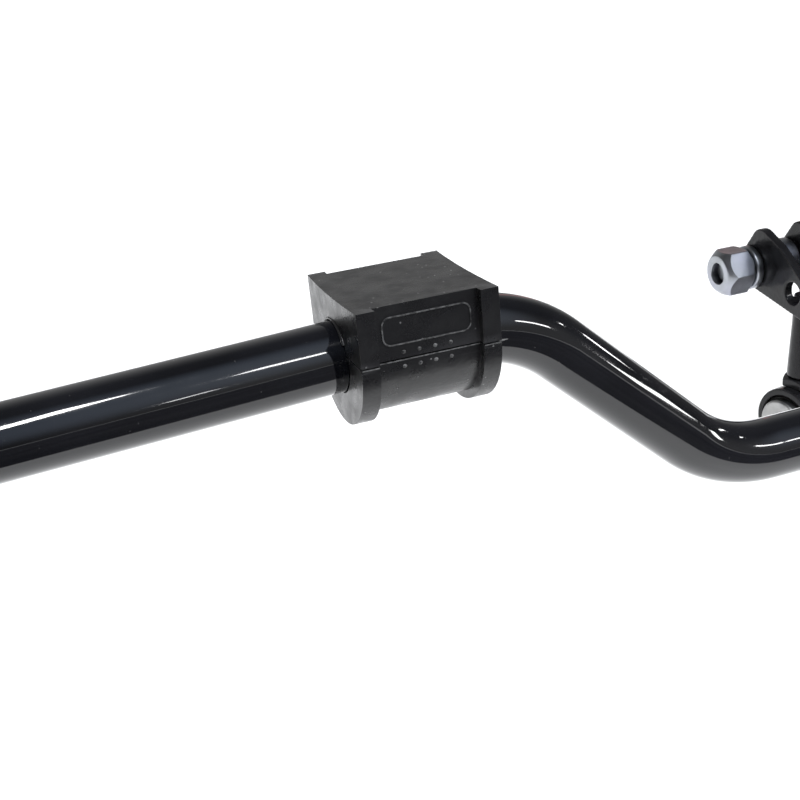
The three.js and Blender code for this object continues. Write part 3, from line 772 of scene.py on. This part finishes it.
# Each round is (y, z, radius); an ear or the crown is the skin drawn tight over its rounds.
EAR_ROUNDS = ((0, 0, 11.8), (-7.5, 14.5, 8.5), (-20, 9, 8.5), (-45, -3, 3), (-45, -17.2, 3))
CROWN_ROUNDS = ((-44.5, -14.1, 2.9), (-29.9, -14.1, 2.9))
COLUMN_Y = -30
COLUMN_FOOT = -59.2
BOLT_RADIUS = 7
TOOLING_HOLE = (-36.1, -6.8, 6.3)
FORGING_VOXEL = 0.55


def drawn_skin(bm, start, end, rounds):
    """A slab along X whose outline is stretched tight over some rounds."""
    rims = []
    for x in (start, end):
        for y, z, radius in rounds:
            rims += bmesh.ops.create_circle(
                bm, segments=72, radius=radius,
                matrix=Matrix.Translation((x, y, z)) @ Matrix.Rotation(pi / 2, 4, "Y"))["verts"]
    skin = bmesh.ops.convex_hull(bm, input=rims)
    spare = {part for part in skin["geom_interior"] + skin["geom_unused"]
             if isinstance(part, bmesh.types.BMVert)}
    bmesh.ops.delete(bm, geom=list(spare), context="VERTS")
    loose = [edge for edge in bm.edges if not edge.link_faces]
    bmesh.ops.delete(bm, geom=loose, context="EDGES")


forging = bmesh.new()
drawn_skin(forging, -FORK_HALF_WIDTH, EAR_THICKNESS - FORK_HALF_WIDTH, EAR_ROUNDS)
fork = workpiece(forging, "fork_blank")
forging = bmesh.new()
drawn_skin(forging, FORK_HALF_WIDTH - EAR_THICKNESS, FORK_HALF_WIDTH, EAR_ROUNDS)
outer_ear = workpiece(forging, "outer_ear")
forging = bmesh.new()
drawn_skin(forging, -FORK_HALF_WIDTH + 0.2, FORK_HALF_WIDTH - 0.2, CROWN_ROUNDS)
crown = workpiece(forging, "crown")
column = turned([(COLUMN_FOOT, 0), (COLUMN_FOOT, 9.1), (COLUMN_FOOT + 0.9, 9.9),
                 (COLUMN_FOOT + 10.7, 9.3), (-28, 7.9), (-11.5, 7.2), (-11.5, 0)], "column", 72)
column.data.transform(Matrix.Translation((0, COLUMN_Y, 0)) @ upright)
tapping = rod(SHANK_RADIUS + CLEARANCE, COLUMN_FOOT - 1, -41.5)
tapping.data.transform(Matrix.Translation((0, COLUMN_Y, 0)) @ upright)
tooling_hole = rod(TOOLING_HOLE[2], -FORK_HALF_WIDTH - 1, FORK_HALF_WIDTH + 1)
tooling_hole.data.transform(Matrix.Translation((0, TOOLING_HOLE[0], TOOLING_HOLE[1])))
bolt_hole = rod(BOLT_RADIUS + CLEARANCE, -FORK_HALF_WIDTH - 1, FORK_HALF_WIDTH + 1)
machined(fork, ("UNION", outer_ear), ("UNION", crown), ("UNION", column),
         ("DIFFERENCE", bolt_hole), ("DIFFERENCE", tooling_hole), ("DIFFERENCE", tapping))
skin = fork.modifiers.new("forged skin", "REMESH")
skin.mode = "VOXEL"
skin.voxel_size = FORGING_VOXEL
worn_die = fork.modifiers.new("worn die", "SMOOTH")
worn_die.factor = 0.5
worn_die.iterations = 5
settle(fork)
fit_both_sides(fork, at_fork, "forged_fork", satin_paint, "link", "link_fork",
               60)

# ---- The pivot bolt and its nut ------------------------------------------------------------
# A zinc-plated bolt clamps the fork's ears on the bush. Its lock nut has a turned, tapered end
# crimped in over the thread, and stands on a thick round-edged ring washer.

RING_WASHER_RADIUS = 12.3
RING_WASHER_THICKNESS = 4.6
ring_at = -FORK_HALF_WIDTH - CLEARANCE - RING_WASHER_THICKNESS
NUT_SEAT = ring_at - CLEARANCE
LOCK_NUT_ACROSS = 24
LOCK_NUT_LENGTH = 16
SEAT_HEIGHT = 1.8
nut_face = NUT_SEAT - LOCK_NUT_LENGTH - SEAT_HEIGHT
hex_end = nut_face + LOCK_NUT_LENGTH
nut_corner = LOCK_NUT_ACROSS / sqrt(3)

lock_nut = hexagon(LOCK_NUT_ACROSS, nut_face, hex_end)
taper = turned([
    (nut_face, 0), (nut_face, 9.6), (nut_face + 0.25, 10.2), (nut_face + 0.8, 10.8),
    (nut_face + 4.6, nut_corner + 0.05), (hex_end - 1.2, nut_corner + 0.05),
    (hex_end, LOCK_NUT_ACROSS / 2), (hex_end, 0)], "taper", 96)
seat = turned([(hex_end - 1, 0), (hex_end - 1, 10.8), (NUT_SEAT - 0.3, 10.8), (NUT_SEAT, 10.5),
               (NUT_SEAT, 0)], "seat", 72)
MOUTH_RADIUS = 5.9
mouth = turned([
    (nut_face - 1, 0), (nut_face - 1, MOUTH_RADIUS + 1.3), (nut_face + 0.5, MOUTH_RADIUS),
    (nut_face + 2, MOUTH_RADIUS), (nut_face + 2.2, BOLT_RADIUS + CLEARANCE),
    (NUT_SEAT + 1, BOLT_RADIUS + CLEARANCE), (NUT_SEAT + 1, 0)], "mouth", 64)
machined(lock_nut, ("INTERSECT", taper), ("UNION", seat), ("DIFFERENCE", mouth))
fit_both_sides(lock_nut, at_fork, "tapered_lock_nut", zinc, "link", "lock_nut", 30)

ring_washer = washer(BOLT_RADIUS + CLEARANCE, RING_WASHER_RADIUS, ring_at, RING_WASHER_THICKNESS,
                     1.3)
fit_both_sides(ring_washer, at_fork, "round_edged_washer", zinc, "link", "ring_washer",
               30)

head_washer_at = FORK_HALF_WIDTH + CLEARANCE
head_at = head_washer_at + WASHER_THICKNESS + CLEARANCE
HEAD_HEIGHT = 9
HEAD_ACROSS = 22
head_washer = washer(BOLT_RADIUS + CLEARANCE, WASHER_RADIUS, head_washer_at, WASHER_THICKNESS, 0.5)
fit_both_sides(head_washer, at_fork, "head_washer_disc", zinc, "link", "head_washer",
               30)

bolt = chamfered_hexagon(HEAD_ACROSS, head_at, head_at + HEAD_HEIGHT, (0.4, 1.8))
shank = turned([
    (nut_face + 4, 0), (nut_face + 4, BOLT_RADIUS - 1.9), (nut_face + 5, BOLT_RADIUS - 0.9),
    *threaded(BOLT_RADIUS, nut_face + 5, -16), (-15.5, BOLT_RADIUS), (head_at + 1, BOLT_RADIUS),
    (head_at + 1, 0)], "shank", 64)
dish = turned([(head_at + HEAD_HEIGHT - 0.6, 0), (head_at + HEAD_HEIGHT - 0.6, 6.4),
               (head_at + HEAD_HEIGHT + 0.5, 7.6), (head_at + HEAD_HEIGHT + 0.5, 0)], "dish", 72)
machined(bolt, ("UNION", shank), ("DIFFERENCE", dish))
fit_both_sides(bolt, at_fork, "pivot_bolt_and_head", zinc, "link", "pivot_bolt", 30)

# ---- The upper bush ------------------------------------------------------------------------
# A steel sleeve is clamped between the ears, with rubber bonded round it inside a plated shell.
# The eye on the car closes round the shell and turns on the rubber.

sleeve_end = FORK_HALF_WIDTH - EAR_THICKNESS - CLEARANCE
bush_end = 8.5
SLEEVE_RADIUS = 8.9
RUBBER_RADIUS = 11.3
SHELL_RADIUS = 12.7
spacer = turned([
    (-sleeve_end, BOLT_RADIUS + CLEARANCE), (-sleeve_end, SLEEVE_RADIUS - 0.4),
    (-sleeve_end + 0.4, SLEEVE_RADIUS), (sleeve_end - 0.4, SLEEVE_RADIUS),
    (sleeve_end, SLEEVE_RADIUS - 0.4), (sleeve_end, BOLT_RADIUS + CLEARANCE)],
    "spacer", 72, bored=True)
fit_both_sides(spacer, at_fork, "steel_sleeve", machined_steel, "link", "upper_sleeve",
               30)
inner, outer = SLEEVE_RADIUS + CLEARANCE, RUBBER_RADIUS
bonded = turned([
    (-bush_end, inner), (-bush_end + 0.7, inner + 0.9), (-bush_end + 1.0, (inner + outer) / 2),
    (-bush_end + 0.7, outer - 0.9), (-bush_end, outer), (bush_end, outer),
    (bush_end - 0.7, outer - 0.9), (bush_end - 1.0, (inner + outer) / 2),
    (bush_end - 0.7, inner + 0.9), (bush_end, inner)], "bonded", 80, bored=True)
fit_both_sides(bonded, at_fork, "bonded_rubber", rubber, "upper_bush", "upper_rubber",
               60)
shell = turned([
    (-bush_end, RUBBER_RADIUS + CLEARANCE), (-bush_end, SHELL_RADIUS - 0.9),
    (-bush_end + 0.3, SHELL_RADIUS - 0.3), (-bush_end + 1.0, SHELL_RADIUS),
    (bush_end - 1.0, SHELL_RADIUS), (bush_end - 0.3, SHELL_RADIUS - 0.3),
    (bush_end, SHELL_RADIUS - 0.9), (bush_end, RUBBER_RADIUS + CLEARANCE)],
    "shell", 80, bored=True)
fit_both_sides(shell, at_fork, "plated_shell", zinc, "upper_bush", "upper_shell", 30)

# ---- The studio ----------------------------------------------------------------------------
# The bar lies on a wide white table under a soft overhead light. Strip lights draw the streaks
# on the paint, and a black cloth that the camera doesn't see darkens the front of the table.


def stage_disc(name, finish, radius, centre):
    disc = bmesh.new()
    bmesh.ops.create_circle(disc, cap_ends=True, segments=96, radius=radius,
                            matrix=Matrix.Translation(centre))
    sheet = bpy.data.objects.new(name, bpy.data.meshes.new(name))
    disc.to_mesh(sheet.data)
    disc.free()
    sheet.data.materials.append(finish)
    bpy.context.scene.collection.objects.link(sheet)
    return sheet


white_card, tree, shader, place = new_finish("white_card", 0.0, 0.0)
tree.links.new(blend_colours(tree, mottle(tree, place, 3, 0, 1), (0.90, 0.90, 0.90),
                             (0.92, 0.92, 0.92)), shader.inputs["Base Color"])
shader.inputs["Roughness"].default_value = 0.9
TABLE_RADIUS = 14
TABLE_DROP = 0.0004
stage_disc("table_top", white_card, TABLE_RADIUS, (0, 0, -TABLE_DROP))

black_cloth, tree, shader, place = new_finish("black_cloth", 0.0, 0.0)
spread_out = tree.nodes.new("ShaderNodeSeparateXYZ")
tree.links.new(place, spread_out.inputs["Vector"])
faded = tree.nodes.new("ShaderNodeMapRange")
faded.inputs["From Min"].default_value = -0.15
faded.inputs["From Max"].default_value = 0.25
tree.links.new(spread_out.outputs["X"], faded.inputs["Value"])
cloth_tone = blend_colours(tree, mottle(tree, place, 6, 0, 1), (0.07, 0.07, 0.08),
                           (0.12, 0.12, 0.13))
tree.links.new(blend_colours(tree, faded.outputs["Result"], (0.012, 0.012, 0.013), cloth_tone),
               shader.inputs["Base Color"])
shader.inputs["Roughness"].default_value = 1.0
FLAG_EDGE = -0.215
FLAG_RADIUS = 2.5
FLAG_LIFT = 0.0004
flag = stage_disc("front_flag", black_cloth, FLAG_RADIUS,
                  (0.2, FLAG_EDGE - FLAG_RADIUS, FLAG_LIFT))
flag.visible_camera = False
flag.visible_shadow = False

overhead = bpy.data.objects.new("overhead", bpy.data.lights.new("overhead", "SUN"))
overhead.data.energy = 3.5
overhead.data.angle = radians(70)
overhead.visible_glossy = False
bpy.context.scene.collection.objects.link(overhead)


def strip_light(name, first_end, second_end, width, brightness, colour=(1, 1, 1)):
    """A narrow lamp between two points that faces the bushing. Its brightness is its radiance."""
    lamp = bpy.data.objects.new(name, bpy.data.lights.new(name, "AREA"))
    along = Vector(second_end) - Vector(first_end)
    middle = (Vector(first_end) + Vector(second_end)) / 2
    lamp.data.shape = "RECTANGLE"
    lamp.data.size = along.length
    lamp.data.size_y = width
    lamp.data.energy = brightness * pi * along.length * width
    lamp.data.color = colour
    away = (middle - bushing_centre * MM).normalized()
    x_axis = along.normalized()
    y_axis = away.cross(x_axis).normalized()
    lamp.matrix_world = Matrix.Translation(middle) @ Matrix(
        (x_axis, y_axis, x_axis.cross(y_axis))).transposed().to_4x4()
    lamp.visible_camera = False
    bpy.context.scene.collection.objects.link(lamp)


strip_light("strip_above_left", (0.06, -1.04, 1.6), (0.27, -0.69, 1.6), 0.15, 45)
strip_light("strip_above_right", (0.69, -1.64, 1.6), (0.94, -1.80, 1.6), 0.14, 26)
strip_light("strip_low_front", (0.53, -2.0, 0.62), (0.63, -1.98, 0.67), 0.06, 14)
strip_light("strip_right", (1.50, -1.47, 1.02), (1.82, -1.22, 0.80), 0.10, 26)
strip_light("strip_far_right", (2.12, -1.00, 0.36), (2.27, -0.55, 0.38), 0.09, 22)
strip_light("strip_right_back", (2.24, 0.06, 0.66), (2.28, -0.10, 0.58), 0.07, 22)
strip_light("spot_right", (2.08, -0.47, 0.98), (2.10, -0.39, 1.00), 0.07, 26)
strip_light("red_tool_box", (1.55, 1.75, 0.25), (1.60, 1.80, 1.15), 0.10, 0.4, (1.0, 0.12, 0.12))

world = bpy.data.worlds.new("studio")
bpy.context.scene.world = world
world.use_nodes = True
room = world.node_tree
facing = room.nodes.new("ShaderNodeSeparateXYZ")
direction = room.nodes.new("ShaderNodeTexCoord").outputs["Generated"]
room.links.new(direction, facing.inputs["Vector"])


def room_ramp(value, start, end, low, high):
    ramp = room.nodes.new("ShaderNodeMapRange")
    ramp.interpolation_type = "SMOOTHSTEP"
    for socket, number in zip(("From Min", "From Max", "To Min", "To Max"),
                              (start, end, low, high)):
        ramp.inputs[socket].default_value = number
    room.links.new(value, ramp.inputs["Value"])
    return ramp.outputs["Result"]


def room_math(operation, first, second):
    step = room.nodes.new("ShaderNodeMath")
    step.operation = operation
    room.links.new(first, step.inputs[0])
    room.links.new(second, step.inputs[1])
    return step.outputs["Value"]


across, along = facing.outputs["X"], facing.outputs["Y"]
GLOW_WAY = (0.15, -0.66, 0.74)
glow_dot = room.nodes.new("ShaderNodeVectorMath")
glow_dot.operation = "DOT_PRODUCT"
glow_dot.inputs[1].default_value = GLOW_WAY
room.links.new(direction, glow_dot.inputs[0])
glow = room_ramp(glow_dot.outputs["Value"], 0.72, 1.0, 0, 0.55)
back_wall = room_ramp(along, 0.35, 0.95, 0.08, 0.38)
front_right = room_math("MULTIPLY", room_ramp(along, -0.1, -0.75, 0, 1),
                       room_ramp(across, 0.0, 0.3, 0.0, 0.27))
grey = room_math("ADD", back_wall, front_right)
tinted = room.nodes.new("ShaderNodeCombineColor")
for channel, strength in (("Red", 0.75), ("Green", 0.92), ("Blue", 1.2)):
    share = room.nodes.new("ShaderNodeMath")
    share.operation = "MULTIPLY_ADD"
    share.inputs[1].default_value = strength
    room.links.new(glow, share.inputs[0])
    room.links.new(grey, share.inputs[2])
    room.links.new(share.outputs["Value"], tinted.inputs[channel])
seen = room.nodes.new("ShaderNodeMix")
seen.data_type = "RGBA"
seen.inputs["B"].default_value = (1, 1, 1, 1)
ray_kind = room.nodes.new("ShaderNodeLightPath")
room.links.new(ray_kind.outputs["Is Camera Ray"], seen.inputs["Factor"])
room.links.new(tinted.outputs["Color"], seen.inputs["A"])
room.links.new(seen.outputs["Result"], room.nodes["Background"].inputs["Color"])
bpy.context.scene.view_settings.view_transform = "Standard"
